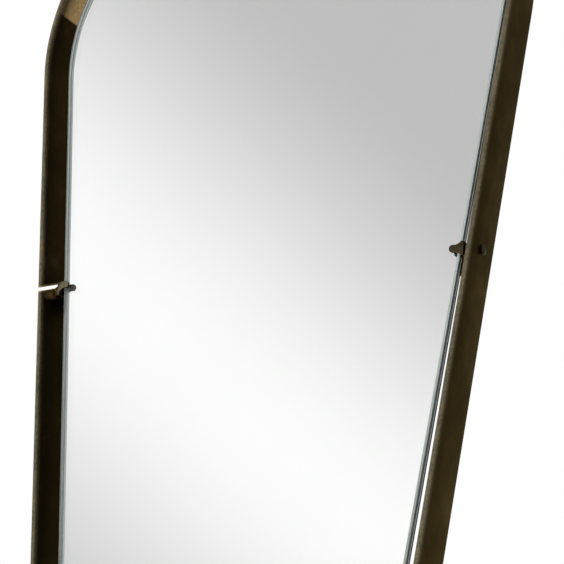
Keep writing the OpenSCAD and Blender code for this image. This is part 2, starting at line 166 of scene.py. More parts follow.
LIP_W = 1.0 * MM             # width of the rubbed line along each lip of the slit
PATCH_ALONG = -2.5 * MM      # middle of the painted highlight under the slit, from the middle of the slit
PATCH_ACROSS = -2.8 * MM
PATCH_HALF_L = 7.5 * MM
PATCH_HALF_H = 2.1 * MM
CROWN_FADE = 0.8 * MM        # the painted highlight inside the crown fades in over this height


def slit_rub_and_highlight(tree, place):
    """How tan the hoop is round the slit: rubbed along both its lips, and a painted highlight in a patch
    under it.
    """
    from_middle = add_node(tree, "ShaderNodeVectorMath", {0: place, 1: SLIT_MIDDLE},
                           operation="SUBTRACT")
    across = add_node(tree, "ShaderNodeVectorMath", {0: from_middle, 1: SLIT_UP},
                      operation="DOT_PRODUCT").outputs["Value"]
    along = add_node(tree, "ShaderNodeVectorMath", {0: from_middle, 1: SLIT_ALONG},
                     operation="DOT_PRODUCT").outputs["Value"]
    away = add_node(tree, "ShaderNodeMath", {0: across}, operation="ABSOLUTE")
    lips = add_node(tree, "ShaderNodeMapRange", {
        "Value": away, "From Min": SLIT_W / 2 + LIP_W / 4, "From Max": SLIT_W / 2 + LIP_W,
        "To Min": 1.0, "To Max": 0.0,
    })
    # A painted highlight in an oval patch under the slit
    patch_u = add_node(tree, "ShaderNodeMapRange", {
        "Value": along, "From Min": PATCH_ALONG, "From Max": PATCH_ALONG + PATCH_HALF_L,
    }, clamp=False)
    patch_v = add_node(tree, "ShaderNodeMapRange", {
        "Value": across, "From Min": PATCH_ACROSS, "From Max": PATCH_ACROSS + PATCH_HALF_H,
    }, clamp=False)
    from_patch = add_node(tree, "ShaderNodeCombineXYZ", {"X": patch_u, "Y": patch_v})
    out = add_node(tree, "ShaderNodeVectorMath", {0: from_patch}, operation="LENGTH").outputs["Value"]
    slit_highlight = add_node(tree, "ShaderNodeMapRange", {
        "Value": out, "From Min": 0.5, "From Max": 1.1, "To Min": 0.9, "To Max": 0.0,
    })
    both = add_node(tree, "ShaderNodeMath", {0: lips, 1: slit_highlight}, operation="MAXIMUM")
    from_centre = add_node(tree, "ShaderNodeSeparateXYZ", {"Vector": place}).outputs["X"]
    on_left = add_node(tree, "ShaderNodeMath", {0: from_centre, 1: 0.0}, operation="LESS_THAN")
    return add_node(tree, "ShaderNodeMath", {0: both, 1: on_left}, operation="MULTIPLY")


def patinated_brass(name, on_hoop):
    """Brass strip, chemically patinated and waxed.

    Brown-black with soft olive clouds. Tan metal shows through where hands and cloths rub its edges and
    the slit's lips.
    The same tan is painted as highlights on the hoop's front edge, under the slit, inside the crown and
    on the clips' fingers.
    front_share is 1 at the hoop's front edge and 0 at its back.
    """
    material, tree, place = new_material(name)
    clouds = add_node(tree, "ShaderNodeTexNoise", {
        "Vector": place, "Scale": 1 / (16 * MM), "Detail": 4.0, "Roughness": 0.6,
    })
    grain = add_node(tree, "ShaderNodeTexNoise", {
        "Vector": place, "Scale": 1 / (1.2 * MM), "Detail": 2.0, "Roughness": 0.5,
    })
    dark = add_node(tree, "ShaderNodeValToRGB", {"Fac": clouds}, stops=[
        (0.4, "#2c2413"), (0.6, "#362b18"), (0.78, "#4e432c"),
    ])
    rubbed_and_highlight_colour = add_node(tree, "ShaderNodeValToRGB", {"Fac": grain}, stops=[
        (0.3, "#9a9680"), (0.52, "#b7b094"), (0.72, "#d9bb86"),
    ])
    # Worn edges, and the painted highlight on the clips' fingers
    wear_and_highlight = add_node(tree, "ShaderNodeAttribute", attribute_name="edge_wear_and_highlight").outputs["Fac"]
    if on_hoop:
        to_front = add_node(tree, "ShaderNodeAttribute", attribute_name="front_share").outputs["Fac"]
        # Along the front edge the tan is partly rubbing and partly a painted highlight
        front_rub_and_highlight = add_node(tree, "ShaderNodeMapRange", {
            "Value": to_front, "From Min": 0.86, "From Max": 1.0, "To Max": 0.3,
        }, interpolation_type="SMOOTHSTEP")
        # A painted highlight on the crown's inner face, just behind its front edge
        crown = add_node(tree, "ShaderNodeAttribute", attribute_name="crown_highlight_rise").outputs["Fac"]
        crown_highlight_ramp = add_node(tree, "ShaderNodeMapRange", {"Value": crown, "From Max": CROWN_FADE})
        behind_front = add_node(tree, "ShaderNodeMapRange", {
            "Value": to_front, "From Min": 0.76, "From Max": 0.84, "To Min": 1.0, "To Max": 0.3,
        })
        crown_highlight = add_node(tree, "ShaderNodeMath", {0: crown_highlight_ramp, 1: behind_front},
                               operation="MULTIPLY")
        # Tan where the slit's lips are rubbed, and painted highlights under the slit and inside the
        # crown
        bare_and_highlight = add_node(tree, "ShaderNodeMath", {0: crown_highlight, 1: slit_rub_and_highlight(tree, place)},
                        operation="MAXIMUM")
        # The tan of the rubbed lips and of the painted highlights
        tan = add_node(tree, "ShaderNodeValToRGB", {"Fac": grain}, stops=[
            (0.3, "#d2b07a"), (0.7, "#efcb90"),
        ])
        rubbed_and_highlight_colour = add_node(tree, "ShaderNodeMix", {0: bare_and_highlight, 6: rubbed_and_highlight_colour, 7: tan}, data_type="RGBA")
        # Adds the front edge's rubbing and painted highlight, the slit's rubbing and the other painted
        # highlights to the worn edges
        for rub_and_highlight in (front_rub_and_highlight, bare_and_highlight):
            wear_and_highlight = add_node(tree, "ShaderNodeMath", {0: wear_and_highlight, 1: rub_and_highlight}, operation="MAXIMUM")
    patchy = add_node(tree, "ShaderNodeMapRange", {
        "Value": clouds, "From Min": 0.3, "From Max": 0.6, "To Min": 0.75, "To Max": 1.0,
    })
    # How much of the wear and the painted highlights shows, patchy with the clouds
    wear_and_highlight_amount = add_node(tree, "ShaderNodeMath", {0: wear_and_highlight, 1: patchy}, operation="MULTIPLY")
    colour = add_node(tree, "ShaderNodeMix", {0: wear_and_highlight_amount, 6: dark, 7: rubbed_and_highlight_colour}, data_type="RGBA")
    gloss = add_node(tree, "ShaderNodeMapRange", {
        "Value": clouds, "From Min": 0.3, "From Max": 0.7, "To Min": 0.5, "To Max": 0.36,
    })
    relief = add_node(tree, "ShaderNodeBump", {
        "Height": grain, "Distance": 0.02 * MM, "Strength": 0.6,
    })
    surface(tree, {
        "Base Color": colour, "Metallic": 1.0, "Roughness": gloss, "Normal": relief,
        "Specular Tint": (1.0, 0.85, 0.6, 1.0),
    })
    return material


def lacquered_steel():
    """Mild steel strip, pressed and stoved with bronze lacquer: dark and satin, thin along its edges."""
    material, tree, place = new_material("bronze_lacquered_steel")
    clouds = add_node(tree, "ShaderNodeTexNoise", {
        "Vector": place, "Scale": 1 / (20 * MM), "Detail": 3.0, "Roughness": 0.5,
    })
    peel = add_node(tree, "ShaderNodeTexNoise", {
        "Vector": place, "Scale": 1 / (1.5 * MM), "Detail": 1.0, "Roughness": 0.5,
    })
    body = add_node(tree, "ShaderNodeValToRGB", {"Fac": clouds}, stops=[
        (0.35, "#241d12"), (0.7, "#342c1d"),
    ])
    thin = add_node(tree, "ShaderNodeValToRGB", {"Fac": peel}, stops=[
        (0.35, "#51472f"), (0.7, "#746544"),
    ])
    wear_and_highlight = add_node(tree, "ShaderNodeAttribute", attribute_name="edge_wear_and_highlight").outputs["Fac"]
    colour = add_node(tree, "ShaderNodeMix", {0: wear_and_highlight, 6: body, 7: thin}, data_type="RGBA")
    gloss = add_node(tree, "ShaderNodeMapRange", {
        "Value": clouds, "From Min": 0.3, "From Max": 0.7, "To Min": 0.34, "To Max": 0.46,
    })
    relief = add_node(tree, "ShaderNodeBump", {
        "Height": peel, "Distance": 0.03 * MM, "Strength": 0.4,
    })
    surface(tree, {
        "Base Color": colour, "Metallic": 0.7, "Roughness": gloss, "Normal": relief,
    })
    return material


def turned_brass(name, tones):
    """Brass turned on a lathe and left to dull in clouds of three tones, with fine tool marks."""
    material, tree, place = new_material(name)
    clouds = add_node(tree, "ShaderNodeTexNoise", {
        "Vector": place, "Scale": 1 / (3 * MM), "Detail": 4.0, "Roughness": 0.5,
    })
    marks = add_node(tree, "ShaderNodeTexNoise", {
        "Vector": place, "Scale": 1 / (0.4 * MM), "Detail": 1.0, "Roughness": 0.5,
    })
    colour = add_node(tree, "ShaderNodeValToRGB", {"Fac": clouds},
                      stops=list(zip((0.3, 0.55, 0.8), tones)))
    gloss = add_node(tree, "ShaderNodeMapRange", {
        "Value": clouds, "From Min": 0.3, "From Max": 0.7, "To Min": 0.42, "To Max": 0.26,
    })
    relief = add_node(tree, "ShaderNodeBump", {
        "Height": marks, "Distance": 0.01 * MM, "Strength": 0.5,
    })
    surface(tree, {
        "Base Color": colour, "Metallic": 1.0, "Roughness": gloss, "Normal": relief,
    })
    return material


def float_glass():
    """Soda-lime float glass with a ground edge: clear in front, pale grey-green and matt at the edge."""
    material, tree, place = new_material("float_glass")
    grinding = add_node(tree, "ShaderNodeTexNoise", {
        "Vector": place, "Scale": 1 / (0.8 * MM), "Detail": 2.0,
    })
    edge_colour = add_node(tree, "ShaderNodeValToRGB", {"Fac": grinding}, stops=[
        (0.3, "#c6d8cf"), (0.7, "#dae8e0"),
    ])
    clear = add_node(tree, "ShaderNodeValToRGB", {"Fac": grinding}, stops=[
        (0.3, "#fefffe"), (0.7, "#ffffff"),
    ])
    ground = add_node(tree, "ShaderNodeAttribute", attribute_name="ground").outputs["Fac"]
    colour = add_node(tree, "ShaderNodeMix", {0: ground, 6: clear, 7: edge_colour}, data_type="RGBA")
    matt = add_node(tree, "ShaderNodeMath", {0: ground, 1: 0.45}, operation="MULTIPLY")
    through = add_node(tree, "ShaderNodeMapRange", {"Value": ground, "To Min": 1.0, "To Max": 0.7})
    surface(tree, {
        "Base Color": colour, "Roughness": matt, "IOR": 1.52, "Transmission Weight": through,
    })
    return material


def silver_layer():
    """Silver deposited chemically on the back of the glass: a bright, neutral mirror."""
    material, tree, place = new_material("silvering")
    tone = add_node(tree, "ShaderNodeTexNoise", {
        "Vector": place, "Scale": 1 / (60 * MM), "Detail": 2.0,
    })
    colour = add_node(tree, "ShaderNodeValToRGB", {"Fac": tone}, stops=[
        (0.3, "#fdfdfd"), (0.7, "#fefefe"),
    ])
    surface(tree, {"Base Color": colour, "Metallic": 1.0, "Roughness": 0.0})
    return material


def mirror_paint():
    """Protective backing paint, rolled on: matt grey-brown, with the roller's fine stipple."""
    material, tree, place = new_material("mirror_backing_paint")
    clouds = add_node(tree, "ShaderNodeTexNoise", {
        "Vector": place, "Scale": 1 / (30 * MM), "Detail": 4.0,
    })
    stipple = add_node(tree, "ShaderNodeTexNoise", {
        "Vector": place, "Scale": 1 / (1.8 * MM), "Detail": 2.0,
    })
    colour = add_node(tree, "ShaderNodeValToRGB", {"Fac": clouds}, stops=[
        (0.3, "#2f2b24"), (0.7, "#413b31"),
    ])
    gloss = add_node(tree, "ShaderNodeMapRange", {
        "Value": stipple, "From Min": 0.3, "From Max": 0.7, "To Min": 0.6, "To Max": 0.75,
    })
    relief = add_node(tree, "ShaderNodeBump", {
        "Height": stipple, "Distance": 0.05 * MM, "Strength": 0.5,
    })
    surface(tree, {"Base Color": colour, "Roughness": gloss, "Normal": relief})
    return material


PATINA = patinated_brass("patinated_brass_fittings", on_hoop=False)
HOOP_PATINA = patinated_brass("patinated_brass_hoop", on_hoop=True)
LACQUER = lacquered_steel()
BRASS = turned_brass("turned_brass", ("#4a3f2a", "#8a7350", "#b1935f"))
DARK_BRASS = turned_brass("patinated_brass_screws", ("#2e2817", "#423b26", "#645b42"))
GLASS = float_glass()
SILVER = silver_layer()
PAINT = mirror_paint()


# ---------------------------------------------------------------- making pieces

def in_scene(name, data):
    """A new object in the scene, holding a mesh, curve, lamp or camera."""
    made = bpy.data.objects.new(name, data)
    bpy.context.scene.collection.objects.link(made)
    return made


def show(name, mesh, material, *nodes, sharp=radians(32)):
    """Puts a mesh in the scene as a piece that stands for CAD nodes and moves with their body."""
    mesh.name = name
    mesh.materials.clear()
    mesh.materials.append(material)
    mesh.shade_smooth()
    mesh.set_sharp_from_angle(angle=sharp)
    piece = in_scene(name, mesh)
    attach(piece, BODY_OF[nodes[0]])
    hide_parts(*nodes)


def new_tree(name, sizes):
    """A Geometry Nodes tree with a geometry socket each way and named inputs."""
    tree = bpy.data.node_groups.new(name, "GeometryNodeTree")
    tree.interface.new_socket("Geometry", in_out="INPUT", socket_type="NodeSocketGeometry")
    for label, kind in sizes.items():
        tree.interface.new_socket(label, in_out="INPUT", socket_type=kind)
    tree.interface.new_socket("Geometry", in_out="OUTPUT", socket_type="NodeSocketGeometry")
    return tree, add_node(tree, "NodeGroupInput").outputs


def end_tree(tree, geometry, material):
    """Ends a Geometry Nodes tree in plain geometry with a material."""
    real = add_node(tree, "GeometryNodeRealizeInstances", {"Geometry": geometry})
    painted = add_node(tree, "GeometryNodeSetMaterial", {"Geometry": real, "Material": material})
    add_node(tree, "NodeGroupOutput", {"Geometry": painted})


def grown(source, tree, values):
    """The plain mesh that a tree makes from an object with these inputs. The object is removed."""
    modifier = source.modifiers.new(tree.name, "NODES")
    modifier.node_group = tree
    for item in tree.interface.items_tree:
        if item.name in values:
            modifier[item.identifier] = values[item.name]
    graph = bpy.context.evaluated_depsgraph_get()
    mesh = bpy.data.meshes.new_from_object(source.evaluated_get(graph), depsgraph=graph)
    bpy.data.objects.remove(source)
    return mesh


def path(name, points, cyclic):
    """A curve object through points in space."""
    curve = bpy.data.curves.new(name, "CURVE")
    curve.dimensions = "3D"
    spline = curve.splines.new("POLY")
    spline.points.add(len(points) - 1)
    for point, place in zip(spline.points, points):
        point.co = (*place, 1)
    spline.use_cyclic_u = cyclic
    return in_scene(name, curve)


TIP_R = 1.1 * MM             # rounding of the end of a clip's finger
FLAT = radians(1)            # faces that meet at less than this are one face
CRISP = radians(25)          # faces that meet at more than this have a corner between them
SMALL_EASE = 0.2 * MM        # rounding of the corners of the backing and the nuts
CLIP_EASE = 0.22 * MM
STRIP_EASE = 0.35 * MM       # rounding of the corners of strip and pressings


def softened(node, width, tips=None):
    """A merged copy of a CAD node's mesh with its corners rounded, marked as worn where they are.

    tips picks the corners that are rounded more, by a test of their two ends.
    """
    solid = bmesh.new()
    solid.from_mesh(frame["nodes"][node].data)
    bmesh.ops.remove_doubles(solid, verts=solid.verts, dist=SAME)
    bmesh.ops.dissolve_limit(solid, angle_limit=FLAT, verts=solid.verts, edges=solid.edges)
    wear_and_highlight_amount = solid.faces.layers.float.new("edge_wear_and_highlight")
    if tips:
        corners = [edge for edge in solid.edges if tips(*edge.verts)]
        bmesh.ops.bevel(solid, geom=corners, offset=TIP_R, segments=6, profile=0.5, affect="EDGES")
    crisp = [edge for edge in solid.edges if edge.is_manifold and edge.calc_face_angle() > CRISP]
    rounded = bmesh.ops.bevel(
        solid, geom=crisp, offset=width, segments=3, profile=0.5, affect="EDGES", clamp_overlap=True,
    )
    for face in rounded["faces"]:
        face[wear_and_highlight_amount] = 1.0
    mesh = bpy.data.meshes.new(node)
    solid.to_mesh(mesh)
    solid.free()
    return mesh


# ---------------------------------------------------------------- the hoop, a strip bent edge-on

STRIP_EDGE_R = 0.45 * MM
SLIT_BLOCK_X = 12 * MM       # the block that cuts the slit goes right through the strip
RIM_WEAR_AND_HIGHLIGHT_REACH = 0.5 * MM          # how far the wear of the back edge, and the wear and painted highlight of the front edge, reach round them
# tan of the front edge, where it is worn and carries a painted highlight; the cut ends take the same tan
FRONT_WEAR_AND_HIGHLIGHT = 0.45
BACK_WEAR = 0.5
CUT_NEAR = 0.1 * MM          # a face this near the slit, and facing across it this much, is a cut end
CUT_FACING = 0.9
INSIDE_Z = 60 * MM           # a height well inside the hoop, which its inner faces look towards
CROWN_Z = 121 * MM           # the painted highlight inside the crown starts here
CROWN_END_X = 20 * MM        # and ends here on the right


def strip_tree():
    """Sweeps a strip with rounded edges along an outline, then cuts its slit and pivot holes."""
    tree, given = new_tree("bent_strip", {
        "Strip width": "NodeSocketFloat",
        "Strip thickness": "NodeSocketFloat",
        "Edge radius": "NodeSocketFloat",
        "Slit width": "NodeSocketFloat",
        "Hole radius": "NodeSocketFloat",
    })
    section = add_node(tree, "GeometryNodeCurvePrimitiveQuadrilateral", {
        "Width": given["Strip width"], "Height": given["Strip thickness"],
    })
    rounded = add_node(tree, "GeometryNodeFilletCurve", {
        "Curve": section, "Radius": given["Edge radius"], "Count": 4,
    }, mode="POLY")
    steady = add_node(tree, "GeometryNodeSetCurveNormal", {
        "Curve": given["Geometry"], "Normal": (0, 1, 0),
    }, mode="FREE")
    strip = add_node(tree, "GeometryNodeCurveToMesh", {"Curve": steady, "Profile Curve": rounded})
    slit_size = add_node(tree, "ShaderNodeCombineXYZ", {
        "X": SLIT_BLOCK_X, "Y": 2 * STRIP_W, "Z": given["Slit width"],
    })
    slit_block = add_node(tree, "GeometryNodeMeshCube", {"Size": slit_size})
    slit = add_node(tree, "GeometryNodeTransform", {
        "Geometry": slit_block,
        "Translation": SLIT_MIDDLE,
        "Rotation": (SLIT_ANGLE, 0, 0),
    })
    drill = add_node(tree, "GeometryNodeMeshCylinder", {
        "Vertices": ROUND_SIDES, "Radius": given["Hole radius"], "Depth": 3 * HOOP_HALF_W,
    })
    holes = add_node(tree, "GeometryNodeTransform", {
        "Geometry": drill, "Translation": (0, HOOP_MIDDLE, 0), "Rotation": (0, pi / 2, 0),
    })
    cut = add_node(tree, "GeometryNodeMeshBoolean", {0: strip}, operation="DIFFERENCE")
    for cutter in (slit, holes):
        tree.links.new(cutter.outputs[0], cut.inputs[1])
    end_tree(tree, cut, HOOP_PATINA)
    return tree


def mark_hoop_wear_and_highlights(mesh):
    """Marks where the strip is tan: worn at its back edge and cut ends, worn and with a painted
    highlight at its front edge, and a painted highlight inside the crown.

    The crown's highlight attribute is the height above CROWN_Z on the crown's inner face, and well below
    0 elsewhere.
    """
    edge_wear_and_highlight = mesh.attributes.new("edge_wear_and_highlight", "FLOAT", "FACE")
    crown_highlight_rise = mesh.attributes.new("crown_highlight_rise", "FLOAT", "CORNER")
    for face, mark in zip(mesh.polygons, edge_wear_and_highlight.data):
        depth = face.center.y - HOOP_FRONT
        from_slit = abs((face.center - SLIT_MIDDLE).dot(SLIT_UP)) - SLIT_W / 2
        cut_end = from_slit < CUT_NEAR and abs(face.normal.dot(SLIT_UP)) > CUT_FACING
        # The front edge is worn and carries a painted highlight; the cut ends are worn
        if (cut_end and face.center.x < 0) or depth < RIM_WEAR_AND_HIGHLIGHT_REACH:
            mark.value = FRONT_WEAR_AND_HIGHLIGHT
        elif depth > STRIP_W - RIM_WEAR_AND_HIGHLIGHT_REACH:
            mark.value = BACK_WEAR
        # Heights for the painted highlight on the crown's inner face
        inward = face.normal.dot(Vector((-face.center.x, 0, INSIDE_Z - face.center.z))) > 0
        for corner in face.loop_indices:
            point = mesh.vertices[mesh.loops[corner].vertex_index].co
            on_crown = inward and point.x < CROWN_END_X
            crown_highlight_rise.data[corner].value = point.z - CROWN_Z if on_crown else -1.0
    front_share = mesh.attributes.new("front_share", "FLOAT", "POINT")
    for point, share in zip(mesh.vertices, front_share.data):
        share.value = (HOOP_FRONT + STRIP_W - point.co.y) / STRIP_W


hoop_path = path("hoop_path", [(x, HOOP_MIDDLE, z) for x, z in outline(STRIP_T / 2)], cyclic=True)
hoop_mesh = grown(hoop_path, strip_tree(), {
    "Strip width": STRIP_W,
    "Strip thickness": STRIP_T,
    "Edge radius": STRIP_EDGE_R,
    "Slit width": SLIT_W,
    "Hole radius": TILT_R + FIT,
})
mark_hoop_wear_and_highlights(hoop_mesh)
show("hoop_strip", hoop_mesh, HOOP_PATINA, "hoop_band")


# ---------------------------------------------------------------- the glass and its backs

def slab(rings, ground=False):
    """A closed mesh through outlines given as (inset, Y) from front to back.

    ground marks the faces round the edge, which the grinding wheel has touched.
    """
    made = bmesh.new()
    touched = made.faces.layers.float.new("ground")
    loops = [[made.verts.new((x + GLASS_SHIFT, y, z)) for x, z in outline(inset, GLASS_SKEW)]
             for inset, y in rings]
    for front, back in zip(loops, loops[1:]):
        for i in range(len(front)):
            made.faces.new((front[i - 1], front[i], back[i], back[i - 1]))[touched] = float(ground)
    made.faces.new(loops[0])
    made.faces.new(reversed(loops[-1]))
    bmesh.ops.remove_doubles(made, verts=made.verts, dist=SAME)
    bmesh.ops.recalc_face_normals(made, faces=made.faces)
    mesh = bpy.data.meshes.new("slab")
    made.to_mesh(mesh)
    made.free()
    return mesh


ARRIS = 0.6 * MM             # the blunted corners of the glass
AIR = 0.02 * MM              # keeps the silver's face apart from the back of the glass
SILVER_MARGIN = 0.2 * MM     # the silver stops this far inside the edge of the glass

glass_front, glass_back = (corner.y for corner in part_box("mirror_glass"))
silver_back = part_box("mirror_silvering")[1].y
silver_inset = GLASS_INSET + SILVER_MARGIN

show("glass_pane", slab([
    (GLASS_INSET + ARRIS, glass_front),
    (GLASS_INSET, glass_front + ARRIS),
    (GLASS_INSET, glass_back - ARRIS),
    (GLASS_INSET + ARRIS, glass_back),
], ground=True), GLASS, "mirror_glass", sharp=radians(12))

show("silver_coat", slab([
    (silver_inset, glass_back + AIR),
    (silver_inset, silver_back),
]), SILVER, "mirror_silvering")

show("backing_panel", softened("backing_sheet", SMALL_EASE), PAINT, "backing_sheet")


# ---------------------------------------------------------------- pressed and bent metal

FINGER_TIP_X = 80 * MM       # both fingers end a little inside this
FINGER_FACING = 0.99         # a face of the finger is square to Y, and its rounded corners are not
finger_back = glass_front + NEAR


def is_finger_tip(a, b):
    """True for a clip's two corners at the end of its finger, through the metal's thickness."""
    in_front = max(a.co.y, b.co.y) < finger_back
    through = abs(a.co.y - b.co.y) > CLIP_T / 2 and abs(a.co.z - b.co.z) < NEAR
    return in_front and through and abs(a.co.x) < FINGER_TIP_X


# Both faces of each finger are painted tan, the left's strongly: a painted highlight on the back face,
# which the mirror shows, and rubbing on the front, where the left finger is pinched to tilt the mirror
for node, finger_wear_and_highlight in (("left_clip", 0.6), ("right_clip", 0.1)):
    clip_mesh = softened(node, CLIP_EASE, tips=is_finger_tip)
    for face, mark in zip(clip_mesh.polygons, clip_mesh.attributes["edge_wear_and_highlight"].data):
        if abs(face.normal.y) > FINGER_FACING and face.center.y < finger_back:
            mark.value = finger_wear_and_highlight
    show(node + "_bent", clip_mesh, PATINA, node)

for node in ("cross_strap", "swivel_barrel"):
    show(node + "_finished", softened(node, STRIP_EASE), PATINA, node)

PRESSED = ["wall_plate", "wall_channel", "head_channel", "swivel_bracket"]
LINKS = [f"link_{pair}_{side}" for pair in ("a1", "b1", "a2", "b2") for side in ("left", "right")]
for node in PRESSED + LINKS:
    show(node + "_finished", softened(node, STRIP_EASE), LACQUER, node)

show("cap_nuts", softened("swivel_nuts", SMALL_EASE), BRASS, "swivel_nuts")


# ---------------------------------------------------------------- turned parts

CORE_R = 1 * MM              # radius of the circle that a profile is carried round
POLE_MERGE = 0.005 * MM      # closes a solid part where its profile meets the axis


def turning_tree():
    """Turns a profile about an axis and sets a copy at each point, along the point's direction."""
    tree, given = new_tree("turned_parts", {
        "Profile": "NodeSocketObject",
        "Edge radius": "NodeSocketFloat",
        "Sides": "NodeSocketInt",
    })
    drawn = add_node(tree, "GeometryNodeObjectInfo", {"Object": given["Profile"]}).outputs["Geometry"]
    eased = add_node(tree, "GeometryNodeFilletCurve", {
        "Curve": drawn, "Radius": given["Edge radius"], "Count": 2, "Limit Radius": True,
    }, mode="POLY")
    round_path = add_node(tree, "GeometryNodeCurvePrimitiveCircle", {
        "Radius": CORE_R, "Resolution": given["Sides"],
    })
    turned = add_node(tree, "GeometryNodeCurveToMesh", {"Curve": round_path, "Profile Curve": eased})
    closed = add_node(tree, "GeometryNodeMergeByDistance", {
        "Geometry": turned, "Distance": POLE_MERGE,
    })
    direction = add_node(tree, "GeometryNodeInputNamedAttribute", {"Name": "direction"},
                         data_type="FLOAT_VECTOR")
    turn = add_node(tree, "FunctionNodeAlignRotationToVector", {"Vector": direction}, axis="Z")
    places = add_node(tree, "GeometryNodeMeshToPoints", {"Mesh": given["Geometry"]})
    copies = add_node(tree, "GeometryNodeInstanceOnPoints", {
        "Points": places, "Instance": closed, "Rotation": turn,
    })
    end_tree(tree, copies, BRASS)
    return tree


TURNING = turning_tree()


def turned(name, nodes, places, profile, hollow=False, edge=0.15 * MM, material=BRASS):
    """Turned parts at (place, direction) pairs, from a profile of (radius, distance along the axis)."""
    mesh = bpy.data.meshes.new(name)
    mesh.from_pydata([place for place, _ in places], [], [])
    directions = mesh.attributes.new("direction", "FLOAT_VECTOR", "POINT")
    for item, (_, direction) in zip(directions.data, places):
        item.vector = direction
    drawn = path(name + "_profile", [(radius - CORE_R, -along, 0) for radius, along in profile], hollow)
    made = grown(in_scene(name, mesh), TURNING, {
        "Profile": drawn, "Edge radius": edge, "Sides": ROUND_SIDES,
    })
    bpy.data.objects.remove(drawn)
    solid = bmesh.new()
    solid.from_mesh(made)
    bmesh.ops.recalc_face_normals(solid, faces=solid.faces)
    solid.to_mesh(made)
    solid.free()
    show(name, made, material, *nodes)


def dome(radius, height, base, steps=8):
    """A domed head's profile, from its rim at a distance along the axis to its top."""
    ball = (radius * radius + height * height) / (2 * height)
    half = asin(min(1, radius / ball))
    turns = [half * (1 - i / steps) for i in range(steps + 1)]
    return [(ball * sin(turn), base + height - ball + ball * cos(turn)) for turn in turns]


def two_headed(shaft_r, half, head_r, head_h):
    """The profile of a pin or rivet with a domed head at each end of a shaft of this half length."""
    top = [(shaft_r, half)] + dome(head_r, head_h, half)
    return [(radius, -along) for radius, along in reversed(top)] + top


def tube(inner, outer, start, end):
    """The profile of a tube or washer, closed on itself."""
    return [(inner, start), (outer, start), (outer, end), (inner, end)]


def middle_of(node):
    """The middle of a CAD node's box."""
    low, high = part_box(node)
    return (low + high) / 2


X_AXIS = Vector((1, 0, 0))
Y_AXIS = Vector((0, 1, 0))
Z_AXIS = Vector((0, 0, 1))
BOTH_SIDES = (X_AXIS, -X_AXIS)

# Heads as (radius, height)
LINK_HEAD = (3.6 * MM, 1.3 * MM)
RIVET_HEAD = (3.2 * MM, 1.2 * MM)
STRAP_RIVET_HEAD = (2.6 * MM, 1.1 * MM)
CLIP_RIVET_HEAD = (2.2 * MM, 0.9 * MM)
SCREW_HEAD = (2 * MM, 0.7 * MM)

RIVET_R = 1.8 * MM
STRAP_RIVET_R = 1.4 * MM
CLIP_RIVET_R = 1 * MM
BRACKET_RIVET_Z = 17 * MM    # how far the rivets are from the middle of their piece
STRAP_RIVET_X = 9 * MM
CHANNEL_RIVET_Z = 44 * MM
SINK = 1.2 * MM              # depth and width of the countersinks in the wall plate
PIN_EASE = 0.3 * MM

PINS = ["wall_pivot_pin", "wall_slide_pin", "head_pivot_pin", "head_slide_pin",
        "cross_pin_1", "cross_pin_2", "upper_pin", "lower_pin"]
for node in PINS:
    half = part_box(node)[1].x - LINK_HEAD[1]
    turned(node + "_turned", [node], [(middle_of(node), X_AXIS)], two_headed(PIN_R, half, *LINK_HEAD))

SPACERS = ["wall_pivot_spacer", "wall_slide_spacer", "head_pivot_spacer", "head_slide_spacer",
           "cross_spacer_1", "cross_spacer_2", "upper_spacer", "lower_spacer"]
for node in SPACERS:
    low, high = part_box(node)
    turned(node + "_turned", [node], [(middle_of(node), X_AXIS)],
           tube(PIN_R + FIT, (high.z - low.z) / 2, low.x, high.x), hollow=True)

for node in ("wall_pivot_washers", "head_pivot_washers"):
    low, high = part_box(node)
    turned(node + "_turned", [node], [(middle_of(node), side) for side in BOTH_SIDES],
           tube(PIN_R + FIT, (high.z - low.z) / 2, high.x - LINK_T, high.x), hollow=True)

swivel_low, swivel_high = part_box("swivel_pin")
turned("swivel_pin_turned", ["swivel_pin"], [(middle_of("swivel_pin"), Z_AXIS)], [
    (0, swivel_low.z), (swivel_high.x, swivel_low.z), (swivel_high.x, swivel_high.z), (0, swivel_high.z),
], edge=PIN_EASE)

# Rivets through the bracket and through the strap's stem plate, headed on both faces
for node, shaft_r, head, across, spread in (
    ("bracket_rivets", RIVET_R, RIVET_HEAD, Z_AXIS, BRACKET_RIVET_Z),
    ("strap_rivets", STRAP_RIVET_R, STRAP_RIVET_HEAD, X_AXIS, STRAP_RIVET_X),
):
    low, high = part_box(node)
    places = [(middle_of(node) + across * spread * side, Y_AXIS) for side in (-1, 1)]
    turned(node + "_turned", [node], places,
           two_headed(shaft_r, (high.y - low.y) / 2 - head[1], *head))

# Rivets flush in the back of the wall plate
low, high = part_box("wall_channel_rivets")
places = [(Vector((0, high.y, CHANNEL_RIVET_Z * side)), -Y_AXIS) for side in (-1, 1)]
reach = high.y - low.y - RIVET_HEAD[1]
turned("wall_channel_rivets_turned", ["wall_channel_rivets"], places,
       [(0, 0), (RIVET_R + SINK, 0), (RIVET_R, SINK), (RIVET_R, reach)] + dome(*RIVET_HEAD, reach))

# Small rivets that hold the clips' legs to the backing sheet
low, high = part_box("clip_rivets")
clip_rivet_x = high.x - CLIP_RIVET_HEAD[0]
places = [(Vector((clip_rivet_x * side, low.y, 0)), Y_AXIS) for side in (-1, 1)]
reach = high.y - low.y - CLIP_RIVET_HEAD[1]
turned("clip_rivets_turned", ["clip_rivets"], places,
       [(0, 0), (CLIP_RIVET_R, 0), (CLIP_RIVET_R, reach)] + dome(*CLIP_RIVET_HEAD, reach))

